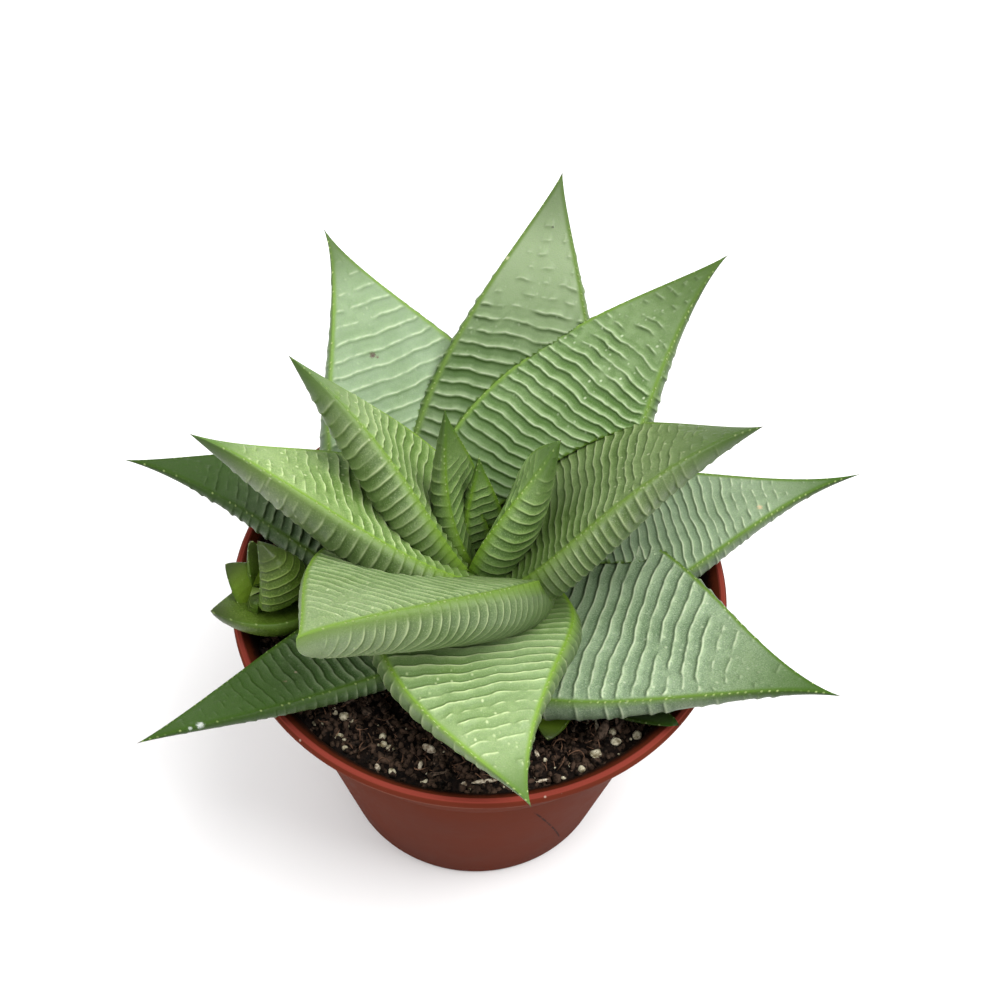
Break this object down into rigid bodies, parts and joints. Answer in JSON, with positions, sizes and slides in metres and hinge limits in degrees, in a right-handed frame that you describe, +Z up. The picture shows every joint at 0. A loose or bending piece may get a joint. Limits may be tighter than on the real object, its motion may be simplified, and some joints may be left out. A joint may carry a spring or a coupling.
{
  "type": "potted succulent",
  "caption": "Star-shaped haworthia rosette with cross-ridged tapering leaves and small offsets, growing in a round terracotta-coloured plastic nursery pot.",
  "frame": {"origin": "centre of the pot's base, on the surface that it stands on", "axes": "+Z up along the pot's axis, -Y towards the camera of the picture, +X to the right of the picture"},
  "size_m": [0.134, 0.118, 0.104],
  "materials": {
    "heart_leaf": "satin, waxy, fleshy leaf",
    "upper_leaf": "satin, waxy, fleshy leaf",
    "back_leaf": "satin, waxy, fleshy leaf",
    "outer_leaf": "satin, waxy, fleshy leaf",
    "offset_leaf": "satin, waxy, fleshy leaf",
    "stem": "matt, fibrous",
    "soil": "loose, matt, with white perlite grains",
    "pot": "satin moulded plastic"
  },
  "bodies": {
    "root": {"leaf_heart_1": "heart_leaf", "leaf_heart_2": "heart_leaf", "leaf_heart_3": "heart_leaf", "leaf_heart_4": "heart_leaf", "leaf_upper_1": "upper_leaf", "leaf_upper_2": "upper_leaf", "leaf_upper_3": "upper_leaf", "leaf_upper_4": "upper_leaf", "leaf_upper_5": "upper_leaf", "leaf_back_1": "back_leaf", "leaf_back_2": "back_leaf", "leaf_back_3": "back_leaf", "leaf_outer_1": "outer_leaf", "leaf_outer_2": "outer_leaf", "leaf_outer_3": "outer_leaf", "leaf_outer_4": "outer_leaf", "leaf_outer_5": "outer_leaf", "pup_left": "offset_leaf", "pup_front": "offset_leaf", "stem": "stem", "soil": "soil", "pot": "pot"}
  },
  "joints": []
}
